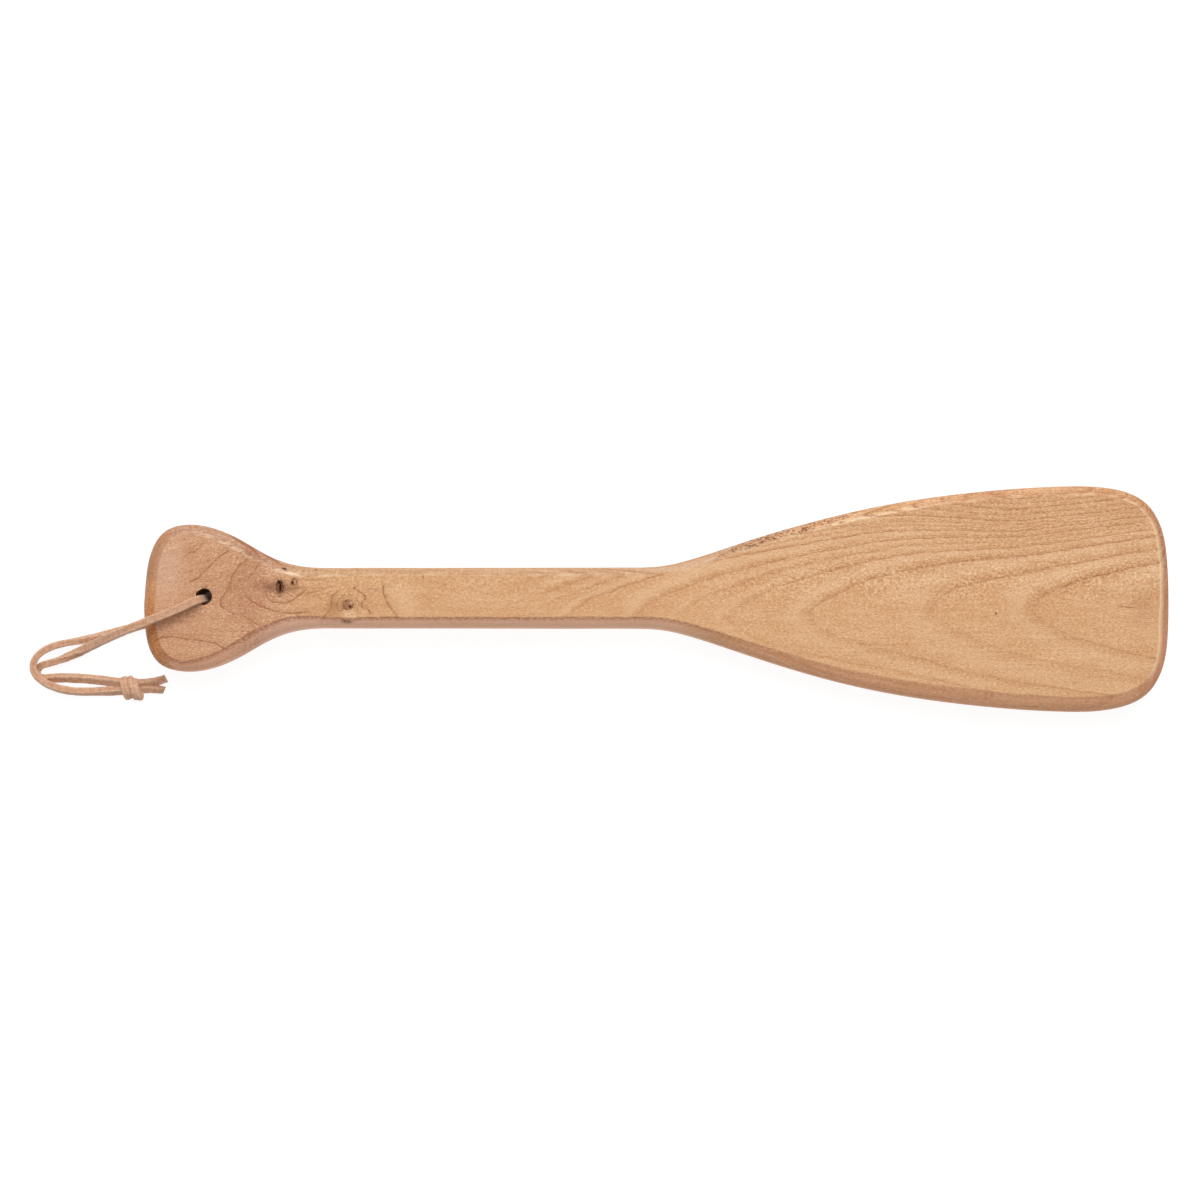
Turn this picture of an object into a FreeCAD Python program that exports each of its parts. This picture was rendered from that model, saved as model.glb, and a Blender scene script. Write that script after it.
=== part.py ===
# Short single blade paddle, sawn and sanded from one board, with a leather lanyard lace.
# X runs along the paddle from grip to blade, Y across it, and Z out of its upper face.
# The origin is the middle of the board. All sizes are in millimetres.
import FreeCAD, Part
import math
import os

# The board
THICKNESS = 18.0          # planed board
ROUNDOVER = 5.5           # router radius along every outer edge, both faces
HOLE_X = -224.0           # lanyard hole, on the centre line of the grip
HOLE_DIAMETER = 8.0
MOUTH_BREAK = 0.5         # sanded edge at both mouths of the hole
SEAM_X = -90.0            # the back face is two faces, so that the blade's end can be named alone

# Half of the outline, from the grip's end to the blade's end: (x, half width)
OUTLINE_HALF = [
    (-255.0, 0.0),
    (-254.3, 11.5),
    (-251.7, 24.0),
    (-246.0, 32.8),
    (-233.2, 36.6),
    (-218.5, 34.0),
    (-206.5, 28.5),
    (-194.5, 21.6),
    (-182.5, 16.9),
    (-171.0, 15.1),
    (-157.0, 14.9),
    (-120.0, 14.9),
    (-80.0, 15.0),
    (-45.0, 15.1),
    (-14.0, 15.1),
    (2.0, 15.7),
    (18.0, 19.3),
    (46.0, 28.5),
    (78.0, 38.2),
    (112.0, 46.3),
    (154.0, 52.6),
    (205.0, 56.2),
    (229.0, 54.6),
    (243.2, 48.4),
    (251.2, 36.5),
    (254.5, 18.0),
    (255.0, 0.0),
]

# The lace: one leather thong through the hole, both ends in one overhand knot
LACE_DIAMETER = 3.6
TAIL_DIAMETER = 3.4
KNOT_CENTRE = (-263.2, -44.9, -8.9)
KNOT_WIDTH = 13.0         # along Y, across the strands
KNOT_HEIGHT = 9.0
KNOT_ROUNDING = 3.2

# Routes of the lace, from the middle of the hole: (x, y, z)
UPPER_ROUTE = [
    (-224.0, -1.0, 0.0),
    (-224.0, -1.0, 12.4),
    (-236.4, -6.8, 12.6),
    (-248.6, -12.0, 13.6),
    (-260.6, -16.8, 11.8),
    (-270.4, -20.0, 5.2),
    (-279.6, -22.4, -3.4),
    (-289.2, -24.8, -10.4),
    (-297.6, -27.2, -11.8),
    (-303.4, -29.6, -11.9),
    (-307.6, -31.6, -11.9),
    (-308.8, -35.2, -11.9),
    (-307.0, -38.4, -11.9),
    (-302.7, -39.7, -11.9),
    (-296.2, -40.0, -11.8),
    (-287.6, -40.2, -11.7),
    (-276.0, -41.2, -11.1),
    (-265.6, -42.4, -9.8),
]
LOWER_ROUTE = [
    (-224.0, -1.0, 0.0),
    (-224.0, -1.0, -11.3),
    (-236.4, -5.2, -11.3),
    (-249.0, -9.4, -11.4),
    (-262.4, -12.9, -11.6),
    (-276.0, -16.2, -11.7),
    (-289.0, -19.2, -11.8),
    (-300.6, -21.4, -11.8),
    (-308.6, -24.6, -11.9),
    (-314.2, -30.2, -11.9),
    (-314.6, -36.8, -11.9),
    (-310.4, -41.8, -11.9),
    (-302.4, -45.4, -11.8),
    (-292.0, -47.2, -11.8),
    (-279.0, -46.7, -11.5),
    (-266.2, -45.8, -10.2),
]
LONG_TAIL_ROUTE = [
    (-263.2, -42.0, -9.6),
    (-256.0, -40.8, -11.2),
    (-246.6, -39.2, -11.4),
]
SHORT_TAIL_ROUTE = [
    (-263.2, -45.2, -9.8),
    (-255.4, -45.3, -11.3),
    (-246.8, -45.6, -11.4),
]


def vector(point):
    return FreeCAD.Vector(*point)


def make_outline():
    """The closed outline on the back face, one smooth curve, the same on both sides of X."""
    points = [FreeCAD.Vector(x, y, -THICKNESS / 2) for x, y in OUTLINE_HALF]
    points += [FreeCAD.Vector(x, -y, -THICKNESS / 2) for x, y in reversed(OUTLINE_HALF[1:-1])]
    curve = Part.BSplineCurve()
    curve.interpolate(Points=points, PeriodicFlag=True)
    return Part.Wire([curve.toShape()])


def make_board():
    """The board, sawn to its outline, rounded over on both faces and drilled."""
    board = Part.Face(make_outline()).extrude(FreeCAD.Vector(0, 0, THICKNESS))
    rims = [edge for edge in board.Edges if edge.isClosed()]
    board = board.makeFillet(ROUNDOVER, rims)
    return split_back_face(board.cut(drill()))


def drill():
    """The lanyard hole, with the broken edge at both mouths."""
    radius = HOLE_DIAMETER / 2
    half = THICKNESS / 2
    profile = Part.makePolygon([
        FreeCAD.Vector(HOLE_X, 0, -half),
        FreeCAD.Vector(HOLE_X + radius + MOUTH_BREAK, 0, -half),
        FreeCAD.Vector(HOLE_X + radius, 0, -half + MOUTH_BREAK),
        FreeCAD.Vector(HOLE_X + radius, 0, half - MOUTH_BREAK),
        FreeCAD.Vector(HOLE_X + radius + MOUTH_BREAK, 0, half),
        FreeCAD.Vector(HOLE_X, 0, half),
        FreeCAD.Vector(HOLE_X, 0, -half),
    ])
    axis_point = FreeCAD.Vector(HOLE_X, 0, 0)
    return Part.Face(profile).revolve(axis_point, FreeCAD.Vector(0, 0, 1), 360)


def split_back_face(board):
    """The same solid with a seam edge across the shaft at SEAM_X."""
    box = board.BoundBox
    room = 10.0
    size = (SEAM_X - box.XMin + room, box.YLength + 2 * room, box.ZLength + 2 * room)
    corner = FreeCAD.Vector(box.XMin - room, box.YMin - room, box.ZMin - room)
    grip_side = Part.makeBox(*size, corner)
    return board.common(grip_side).fuse(board.cut(grip_side)).Solids[0]


def rounded_path(points, name):
    """Straight runs joined by arcs, each as large as the shorter of its two runs allows."""
    corners = [vector(point) for point in points]
    edges = []
    start = corners[0]
    radii = []
    for before, corner, after in zip(corners, corners[1:], corners[2:]):
        arriving = corner - before
        leaving = after - corner
        reach = 0.45 * min(arriving.Length, leaving.Length)
        turn = arriving.getAngle(leaving)
        radii.append(reach / math.tan(turn / 2))
        arriving.normalize()
        leaving.normalize()
        arc_start = corner - arriving * reach
        arc_end = corner + leaving * reach
        inward = leaving - arriving
        inward.normalize()
        to_centre = radii[-1] / math.cos(turn / 2)
        arc_middle = corner + inward * (to_centre - radii[-1])
        edges.append(Part.LineSegment(start, arc_start).toShape())
        edges.append(Part.Arc(arc_start, arc_middle, arc_end).toShape())
        start = arc_end
    edges.append(Part.LineSegment(start, corners[-1]).toShape())
    print(name, "length", round(sum(edge.Length for edge in edges), 1))
    print(name, "radii", [round(radius, 1) for radius in radii])
    return Part.Wire(edges)


def tube(points, diameter, name):
    """A round solid of one diameter along a route."""
    path = rounded_path(points, name)
    direction = vector(points[1]) - vector(points[0])
    section = Part.Wire(Part.makeCircle(diameter / 2, vector(points[0]), direction))
    solid = path.makePipeShell([section], True, False)
    expected = math.pi * diameter ** 2 / 4 * path.Length
    print(name, "volume over section times length", round(solid.Volume / expected, 4))
    return solid


def make_knot():
    """The outer shape of the overhand knot: a short fat roll lying across the strands."""
    x, y, z = KNOT_CENTRE
    start = FreeCAD.Vector(x, y - KNOT_WIDTH / 2, z)
    roll = Part.makeCylinder(KNOT_HEIGHT / 2, KNOT_WIDTH, start, FreeCAD.Vector(0, 1, 0))
    rims = [edge for edge in roll.Edges if edge.isClosed()]
    return roll.makeFillet(KNOT_ROUNDING, rims)


def make_parts():
    knot = make_knot()
    return {
        "paddle_body": make_board(),
        "lace_upper_strand": tube(UPPER_ROUTE, LACE_DIAMETER, "upper strand").cut(knot),
        "lace_lower_strand": tube(LOWER_ROUTE, LACE_DIAMETER, "lower strand").cut(knot),
        "lace_knot": knot,
        "lace_tail_long": tube(LONG_TAIL_ROUTE, TAIL_DIAMETER, "long tail").cut(knot),
        "lace_tail_short": tube(SHORT_TAIL_ROUTE, TAIL_DIAMETER, "short tail").cut(knot),
    }


os.makedirs("parts", exist_ok=True)
for node, shape in make_parts().items():
    print(node, "volume", round(shape.Volume), "solids", len(shape.Solids), "valid", shape.isValid())
    shape.exportStep(f"parts/{node}.step")
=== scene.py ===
"""A short single blade paddle of one pale hardwood board, with a knotted leather lanyard thong.

The board's outline comes from the CAD frame. Its thickness, its hole and the thong's route repeat the
CAD model's, and this script gives them their looks. Sizes here are millimetres, turned into metres by
MM where they are handed on; only the lamps, the cords' calls and the camera's range are in metres.
"""
import bmesh
import bpy
import math
import numpy as np
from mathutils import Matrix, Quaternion, Vector, geometry, noise


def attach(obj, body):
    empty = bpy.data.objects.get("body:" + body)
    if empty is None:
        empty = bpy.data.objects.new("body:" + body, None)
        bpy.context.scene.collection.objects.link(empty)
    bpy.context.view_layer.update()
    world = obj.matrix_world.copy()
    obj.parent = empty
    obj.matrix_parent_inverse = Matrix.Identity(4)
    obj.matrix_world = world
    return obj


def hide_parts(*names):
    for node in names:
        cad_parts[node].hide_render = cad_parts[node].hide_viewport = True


MM = 0.001

# The view: nearly overhead, from the paddle's near side
CAMERA_ELEVATION = math.radians(85)
CAMERA_AIM = (-3.0, 0.0, 9.0)
CAMERA_DISTANCE = 1039.5
CAMERA_LENS = 63.0
CAMERA_SHIFT = (-0.0417, -0.0028)
FLOOR_HALF = 3000.0

# The board's faces lie this far above and below the frame's XY plane
HALF_THICKNESS = 9.0
# It rests on the thong under its grip and on the back edge of its blade's end
BLADE_CONTACT_X = 249.5
REST_SLOPE = 4.1 / 479.5

# The hole, and the thong's section
HOLE_X = -224.0
HOLE_RADIUS = 4.0
LACE_WIDTH = 4.0
LACE_THICKNESS = 3.4
LACE_CORNER = 0.55
LACE_HEADING = (-0.906, -0.423, 0.0)   # where the thong leads from the hole
KNOT_CORNER = 1.2

# Routes of the thong from the middle of the hole, close to the CAD model's; the lower strand's bend
# lies on top of the upper strand's fold
UPPER_ROUTE = [
    (-225, -0.8, 0), (-225, -1, 12.2), (-236.4, -6.8, 12.6),
    (-248.6, -11.8, 13.6), (-260.6, -16.4, 11.8), (-270.4, -19.6, 5.2),
    (-279.6, -22.2, -3.4), (-289.2, -25.7, -10.4), (-298.3, -29.5, -11.8),
    (-304.8, -31.8, -11.8), (-310, -32.9, -11.8), (-312, -36.4, -11.8),
    (-310, -39.9, -11.8), (-303.8, -39.3, -11.8), (-296.2, -39.1, -11.8),
    (-287.6, -39.6, -11.7), (-276, -40.8, -11.1), (-265.6, -42.2, -9.8),
]
LOWER_ROUTE = [
    (-225, -0.8, 0), (-224.6, -1, -11.3), (-236.4, -5.2, -11.3),
    (-249, -9.4, -11.4), (-262.4, -13.7, -11.6), (-276, -17.3, -11.7),
    (-289, -20.2, -11.8), (-300.4, -22.2, -10.6), (-308, -25.4, -8.8),
    (-312.3, -30.4, -7.7), (-312.5, -36.3, -7.6), (-308.4, -40.7, -7.8),
    (-301.6, -44.4, -9.2), (-292, -46.3, -11.1), (-279, -46, -11.5),
    (-266, -45.6, -10.2),
]
# How the thong turns about its own line: (share of the route, degrees), 0 is wide side up
UPPER_TURNS = [(0, 0), (0.34, 4), (0.5, 12), (0.58, 55), (0.63, 88), (0.69, 84), (0.76, 42), (0.9, 36),
               (1, 30)]
LOWER_TURNS = [(0, 0), (0.3, 8), (0.45, 70), (0.55, 90), (0.68, 88), (0.85, 80), (1, 60)]

# The knot and the tails
KNOT_CENTRE = (-263.4, -44.4, -8.8)
WRAP_TURNS = 1.16
WRAP_STEPS = 56
LONG_TAIL = [(-265, -42.2, -9.2), (-260, -42.2, -10.2), (-254.6, -42, -11.2),
             (-250.6, -41, -11.4), (-246.6, -39.6, -11.4)]
SHORT_TAIL = [(-265, -44.8, -9.6), (-259, -45, -10.6), (-254.4, -44.8, -11.5),
              (-250.4, -44.9, -11.6), (-247.2, -45.5, -11.6)]


# ---- small helpers

def link(obj):
    bpy.context.scene.collection.objects.link(obj)
    return obj


def mesh_object(name, vertices, faces, material, smooth=True):
    mesh = bpy.data.meshes.new(name)
    mesh.from_pydata([tuple(v) for v in vertices], [], faces)
    mesh.update()
    if smooth:
        mesh.shade_smooth()
    mesh.materials.append(material)
    return link(bpy.data.objects.new(name, mesh))


def mark_points(piece, name, values):
    """Stores one number for each vertex, for the material to read."""
    attribute = piece.data.attributes.new(name, "FLOAT", "POINT")
    attribute.data.foreach_set("value", values)


def turn_faces_outward(piece):
    mesh = bmesh.new()
    mesh.from_mesh(piece.data)
    bmesh.ops.recalc_face_normals(mesh, faces=mesh.faces)
    mesh.to_mesh(piece.data)
    mesh.free()


def floor_height(x):
    """Height of what the paddle rests on, under the point x."""
    return -HALF_THICKNESS - REST_SLOPE * (BLADE_CONTACT_X - x)


def smoothstep(low, high, value):
    t = np.clip((value - low) / (high - low), 0.0, 1.0)
    return t * t * (3 - 2 * t)


def roughen(point, size, amount, seed=0.0):
    """A repeatable small number between -amount and amount, that changes over about size."""
    return amount * noise.noise(Vector(point) / size + Vector((seed, 2 * seed, 3 * seed)))


# ---- materials

class Shader:
    """Writes one node material; every method returns a socket."""

    def __init__(self, name):
        self.material = bpy.data.materials.new(name)
        self.material.use_nodes = True
        self.tree = self.material.node_tree
        self.surface = self.tree.nodes["Principled BSDF"]

    def node(self, kind, **settings):
        made = self.tree.nodes.new(kind)
        for key, value in settings.items():
            setattr(made, key, value)
        return made

    def feed(self, socket, value):
        if isinstance(value, bpy.types.NodeSocket):
            self.tree.links.new(value, socket)
        else:
            socket.default_value = value

    def math(self, operation, *values):
        made = self.node("ShaderNodeMath", operation=operation)
        for socket, value in zip(made.inputs, values):
            self.feed(socket, value)
        return made.outputs[0]

    def add(self, first, *others):
        for value in others:
            first = self.math("ADD", first, value)
        return first

    def subtract(self, first, second):
        return self.math("SUBTRACT", first, second)

    def times(self, first, *others):
        for value in others:
            first = self.math("MULTIPLY", first, value)
        return first

    def divide(self, first, second):
        return self.math("DIVIDE", first, second)

    def fade(self, value, start, end):
        """0 at start and 1 at end, smoothly, whichever is larger."""
        made = self.node("ShaderNodeMapRange", interpolation_type="SMOOTHSTEP", clamp=True)
        for name, number in (("Value", value), ("From Min", start), ("From Max", end)):
            self.feed(made.inputs[name], number)
        return made.outputs["Result"]

    def decay(self, distance, size):
        """1 at distance 0, falling to a third at size."""
        return self.math("EXPONENT", self.times(distance, -1.0 / size))

    def bell(self, distance, size):
        """1 at distance 0, rounded there, falling to a third at size on either side."""
        ratio = self.divide(distance, size)
        return self.math("EXPONENT", self.times(ratio, ratio, -1.0))

    def vector(self, x, y, z):
        made = self.node("ShaderNodeCombineXYZ")
        for socket, value in zip(made.inputs, (x, y, z)):
            self.feed(socket, value)
        return made.outputs[0]

    def noise(self, place, scale, detail, roughness=0.5):
        made = self.node("ShaderNodeTexNoise")
        self.feed(made.inputs["Vector"], place)
        self.feed(made.inputs["Scale"], scale)
        self.feed(made.inputs["Detail"], detail)
        self.feed(made.inputs["Roughness"], roughness)
        return made.outputs["Fac"]

    def figure(self, place, size, detail, roughness=0.5):
        """Noise whose marks have about the given size along X, Y and Z."""
        scaled = [self.divide(axis, length) for axis, length in zip(place, size)]
        return self.noise(self.vector(*scaled), 1.0, detail, roughness)

    def sway(self, value, amount):
        """Noise brought round 0 and made as strong as amount."""
        return self.times(self.subtract(value, 0.5), amount)

    def curve(self, value, points):
        """A smooth function of value through the points (value, result)."""
        xs = [p[0] for p in points]
        ys = [p[1] for p in points]
        low, high = min(ys), max(ys)
        made = self.node("ShaderNodeFloatCurve")
        line = made.mapping.curves[0]
        while len(line.points) < len(points):
            line.points.new(0.5, 0.5)
        for point, x, y in zip(line.points, xs, ys):
            point.location = ((x - xs[0]) / (xs[-1] - xs[0]), (y - low) / (high - low))
            point.handle_type = "AUTO"
        made.mapping.extend = "HORIZONTAL"
        made.mapping.update()
        share = self.divide(self.subtract(value, xs[0]), xs[-1] - xs[0])
        self.feed(made.inputs["Value"], share)
        return self.add(self.times(made.outputs[0], high - low), low)

    def ramp(self, value, stops):
        made = self.node("ShaderNodeValToRGB")
        self.feed(made.inputs[0], value)
        elements = made.color_ramp.elements
        while len(elements) < len(stops):
            elements.new(0.5)
        for element, (place, colour) in zip(elements, stops):
            element.position = place
            element.color = (*linear(colour), 1.0)
        return made.outputs["Color"]

    def mix(self, share, first, second, blend="MIX"):
        made = self.node("ShaderNodeMix", data_type="RGBA", blend_type=blend)
        self.feed(made.inputs[0], share)
        for socket, value in zip(made.inputs[6:8], (first, second)):
            if not isinstance(value, bpy.types.NodeSocket):
                value = (*linear(value), 1.0)
            self.feed(socket, value)
        return made.outputs[2]

    def place(self):
        """Object-space X, Y and Z in millimetres."""
        coordinates = self.node("ShaderNodeTexCoord").outputs["Object"]
        split = self.node("ShaderNodeSeparateXYZ")
        self.feed(split.inputs[0], coordinates)
        return [self.times(axis, 1 / MM) for axis in split.outputs]

    def spot(self, x, y, centre, radii, degrees, soft):
        """1 inside an ellipse in X and Y, and 0 outside it; soft is the share of its radius between."""
        away = self.ellipse(x, y, centre, radii, degrees)
        return self.fade(away, 1.0 + soft, max(0.0, 1.0 - soft))

    def ellipse(self, x, y, centre, radii, degrees=0.0):
        """Distance from the centre in radii: 1 on the ellipse."""
        turn = math.radians(degrees)
        dx = self.subtract(x, centre[0])
        dy = self.subtract(y, centre[1])
        along = self.add(self.times(dx, math.cos(turn)), self.times(dy, math.sin(turn)))
        across = self.subtract(self.times(dy, math.cos(turn)), self.times(dx, math.sin(turn)))
        along = self.divide(along, radii[0])
        across = self.divide(across, radii[1])
        return self.math("SQRT", self.add(self.times(along, along), self.times(across, across)))

    def largest(self, values):
        result = values[0]
        for value in values[1:]:
            result = self.math("MAXIMUM", result, value)
        return result

    def finish(self, colour, roughness, height, depth):
        self.feed(self.surface.inputs["Base Color"], colour)
        self.feed(self.surface.inputs["Roughness"], roughness)
        bump = self.node("ShaderNodeBump")
        bump.inputs["Strength"].default_value = 1.0
        bump.inputs["Distance"].default_value = depth * MM
        self.feed(bump.inputs["Height"], height)
        self.feed(self.surface.inputs["Normal"], bump.outputs["Normal"])
        return self.material


def linear(colour):
    """An sRGB colour given as 0 to 255, as linear light."""
    shares = [c / 255 for c in colour]
    return tuple(s / 12.92 if s <= 0.04045 else ((s + 0.055) / 1.055) ** 2.4 for s in shares)


# Growth rings on the upper face, from grip to blade: X where each crosses the middle of the cathedral
# arches, and how strongly it shows
RINGS = [(-900, 0.6), (-790, 0.4), (-690, 0.7), (-600, 0.4), (-520, 0.7), (-450, 0.5), (-385, 0.9),
         (-325, 0.6), (-275, 1.1), (-230, 0.7), (-190, 1.1), (-150, 0.8), (-112, 1.1), (-84, 0.7),
         (-66, 0.6), (-47, 1.1), (-12, 0.95), (12, 0.6), (38, 0.9), (78, 1.05), (137, 0.85),
         (187, 1.3), (245, 0.3), (300, 0.6), (360, 0.8), (420, 0.5), (480, 0.8), (545, 0.6), (610, 0.8)]
RING_SPACING = 50.0
RING_DIP = 16.0           # mm along the board for each mm of depth
ARCH_MIDDLE = -11.2       # Y of the arches' middle at X 0
ARCH_CLIMB = 0.035        # and its rise for each mm of X
# How fast the arches fall back at their tip, then further out by the shoulders and at the blade's end
ARM_FAN = 0.33
ARM_UPPER = (11, 6.6)     # towards +Y
ARM_LOWER = (12, 15.5)    # towards -Y
# Single ring lines that cross the neck, as X at each Y: (y, x)
NECK_LINES = [
    [(-17, -192.5), (-14, -197), (-10.4, -202.5), (-7, -212), (-2.4, -215.6), (0.8, -213.8),
     (5.7, -211.2), (9.7, -210.3), (15.3, -206.7), (19, -202.8), (24, -199)],
    [(7, -202.6), (9.7, -201.4), (15.8, -197.4), (19, -195)],
    [(-14, -165.6), (-9.6, -163.8), (-6, -161.4), (0.5, -160.2), (2.4, -158.2), (4.2, -156)],
    [(-10.6, -141.2), (-8.7, -141.4), (-6.2, -142.6), (-4.9, -145.6), (-3.2, -145.6), (-0.7, -144.2),
     (2.6, -147.2), (4.6, -149.6), (7, -147.6)],
    [(-13, -127), (-9.6, -128.6), (-5.1, -131.7), (-1.6, -133.9), (5.5, -135.2), (8.2, -134)],
]
# Ring lines that run along the grip and under the main knot, as Y at each X: (x, y)
GRIP_LINES = [
    [(-250, -26.5), (-248, -23), (-246, -21), (-243, -20), (-235, -20.4), (-227, -21.7),
     (-221.8, -22.3), (-217.8, -23.5), (-211, -27)],
    [(-234, 20.8), (-231.2, 21.9), (-227.2, 23.4), (-224.6, 27.5), (-223, 31)],
    [(-233, 6.8), (-228, 8.6), (-225.6, 10.4), (-223, 13.3), (-217, 19.3), (-210, 24.5)],
    [(-195.2, 4.4), (-193.8, 2.6), (-192.1, -0.5), (-190.4, -2.1), (-188.7, -2.7), (-184.7, -3.2),
     (-180.8, -2.1), (-177.4, 0.2), (-174, 2.8), (-171.5, 4)],
    [(-205, 1), (-200, -2.2), (-196, -4.6), (-191, -6.3), (-185.9, -8), (-181.3, -8.3),
     (-176.3, -8), (-170, -7.6)],
]
MAIN_KNOT = (-186.4, 4.7)
SECOND_KNOT = (-179.3, 7.3)
PIN_KNOT = (-152.5, -4.1)
# Each knot's radii along X and Y, and its dark rims: how many radii out, width, strength
KNOT_RIMS = [
    (MAIN_KNOT, (1.85, 3.1), [(1, 0.45, 1), (1.5, 0.35, 0.4)]),
    (SECOND_KNOT, (1.35, 1.6), [(1, 0.35, 0.8)]),
    (PIN_KNOT, (2.4, 2.3), [(1, 0.5, 0.75), (1.6, 0.45, 0.3), (2.2, 0.45, 0.35)]),
]


def ring_lines(s, x, y, z):
    """The growth rings, cathedral arches that point to the grip, as their darkness and pale sides."""
    slow = s.figure((x, y, z), (70, 16, 16), 3)
    quick = s.figure((x, y, z), (9, 3.5, 3.5), 2)
    waver = s.add(s.sway(slow, 20), s.sway(quick, 5))
    off = s.subtract(y, s.add(s.times(x, ARCH_CLIMB), ARCH_MIDDLE))
    above = s.math("MAXIMUM", off, 0)
    below = s.math("MAXIMUM", s.times(off, -1), 0)
    along = s.fade(x, 100, 185)
    upper = s.add(s.times(along, ARM_UPPER[1] - ARM_UPPER[0]), ARM_UPPER[0])
    lower = s.add(s.times(along, ARM_LOWER[1] - ARM_LOWER[0]), ARM_LOWER[0])
    arch = s.add(s.divide(s.times(above, above), upper), s.divide(s.times(below, below), lower))
    arch = s.add(arch, s.times(s.add(above, below), ARM_FAN))
    depth = s.subtract(z, HALF_THICKNESS)
    field = s.subtract(s.add(s.subtract(x, s.times(depth, RING_DIP)), waver), arch)
    steepness = s.add(s.divide(s.times(above, 2), upper), s.divide(s.times(below, 2), lower))
    steepness = s.add(steepness, ARM_FAN)
    steepness = s.math("SQRT", s.add(s.times(steepness, steepness), 1))
    arm = s.fade(steepness, 1.4, 5)
    # how far past the last ring and before the next one, in mm across them
    number = s.curve(field, [(apex, i) for i, (apex, _) in enumerate(RINGS)])
    share = s.math("FRACT", number)
    reach = s.divide(RING_SPACING, s.math("MAXIMUM", steepness, 1.5))
    after = s.times(share, reach)
    before = s.times(s.subtract(1, share), reach)
    sharp = s.add(s.times(s.decay(after, 0.26), 0.75), s.times(s.decay(before, 0.5), 0.65))
    broken = s.fade(s.figure((x, y, z), (2.6, 0.8, 1.2), 2), 0.34, 0.62)
    sharp = s.times(sharp, s.add(s.times(broken, 0.8), 0.2))
    sharp = s.times(sharp, s.add(s.times(arm, 0.35), 0.5))
    soft = s.add(s.times(s.decay(before, 1.8), 0.24), s.times(s.decay(after, 0.8), 0.08))
    soft = s.times(soft, s.add(s.times(broken, 0.4), 0.6))
    strength = s.times(s.curve(field, RINGS), s.add(s.times(s.fade(off, -4, 10), 0.6), 0.72))
    quiet = s.times(s.fade(x, -48, -64), 0.85)
    strength = s.times(strength, s.subtract(1, quiet))
    halo = s.times(s.fade(before, 2, 4.5), s.fade(before, 11, 6))
    return s.times(s.add(sharp, soft), strength), s.times(halo, strength)


def single_line(s, along, across, points):
    """Darkness of one ring line, given as where it lies across at each place along."""
    away = s.subtract(across, s.curve(along, points))
    shade = s.times(s.decay(s.math("MAXIMUM", away, 0), 2), s.fade(away, -0.6, 0.1))
    line = s.add(s.times(s.bell(away, 0.48), 0.8), s.times(shade, 0.35))
    start, end = points[0][0], points[-1][0]
    return s.times(line, s.fade(along, start, start + 3), s.fade(along, end, end - 3))


def neck_lines(s, x, y, z):
    """Ring lines across the neck and along the grip, where the board was cut past knots."""
    waver = s.figure((x, y, z), (3, 3, 4), 2)
    ragged = s.figure((x, y, z), (0.7, 0.7, 1), 1)
    waver = s.add(s.sway(waver, 1.5), s.sway(ragged, 0.4))
    depth = s.times(s.subtract(z, HALF_THICKNESS), 0.5)
    level = s.subtract(s.add(x, waver), depth)
    rise = s.add(y, waver, depth)
    lines = [single_line(s, y, level, points) for points in NECK_LINES]
    lines += [single_line(s, x, rise, points) for points in GRIP_LINES]
    broken = s.figure((x, y, z), (1.6, 1.6, 2), 1)
    return s.times(s.largest(lines), s.add(s.times(s.fade(broken, 0.36, 0.56), 0.5), 0.5))


def knot_rings(s, x, y, z):
    """Darkness of the rims of the three knots."""
    waver = s.sway(s.figure((x, y, z), (1.6, 1.6, 3), 2), 0.35)
    broken = s.figure((x, y, z), (1.3, 1.3, 2), 1)
    broken = s.add(s.times(s.fade(broken, 0.38, 0.56), 0.8), 0.2)
    lines = []
    for centre, radii, rims in KNOT_RIMS:
        away = s.add(s.ellipse(x, y, centre, radii), waver)
        for ring, width, strength in rims:
            gap = s.times(s.subtract(away, ring), radii[0])
            lines.append(s.times(s.bell(gap, width), strength))
    return s.times(s.largest(lines), broken, s.fade(z, 5, 8))


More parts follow.
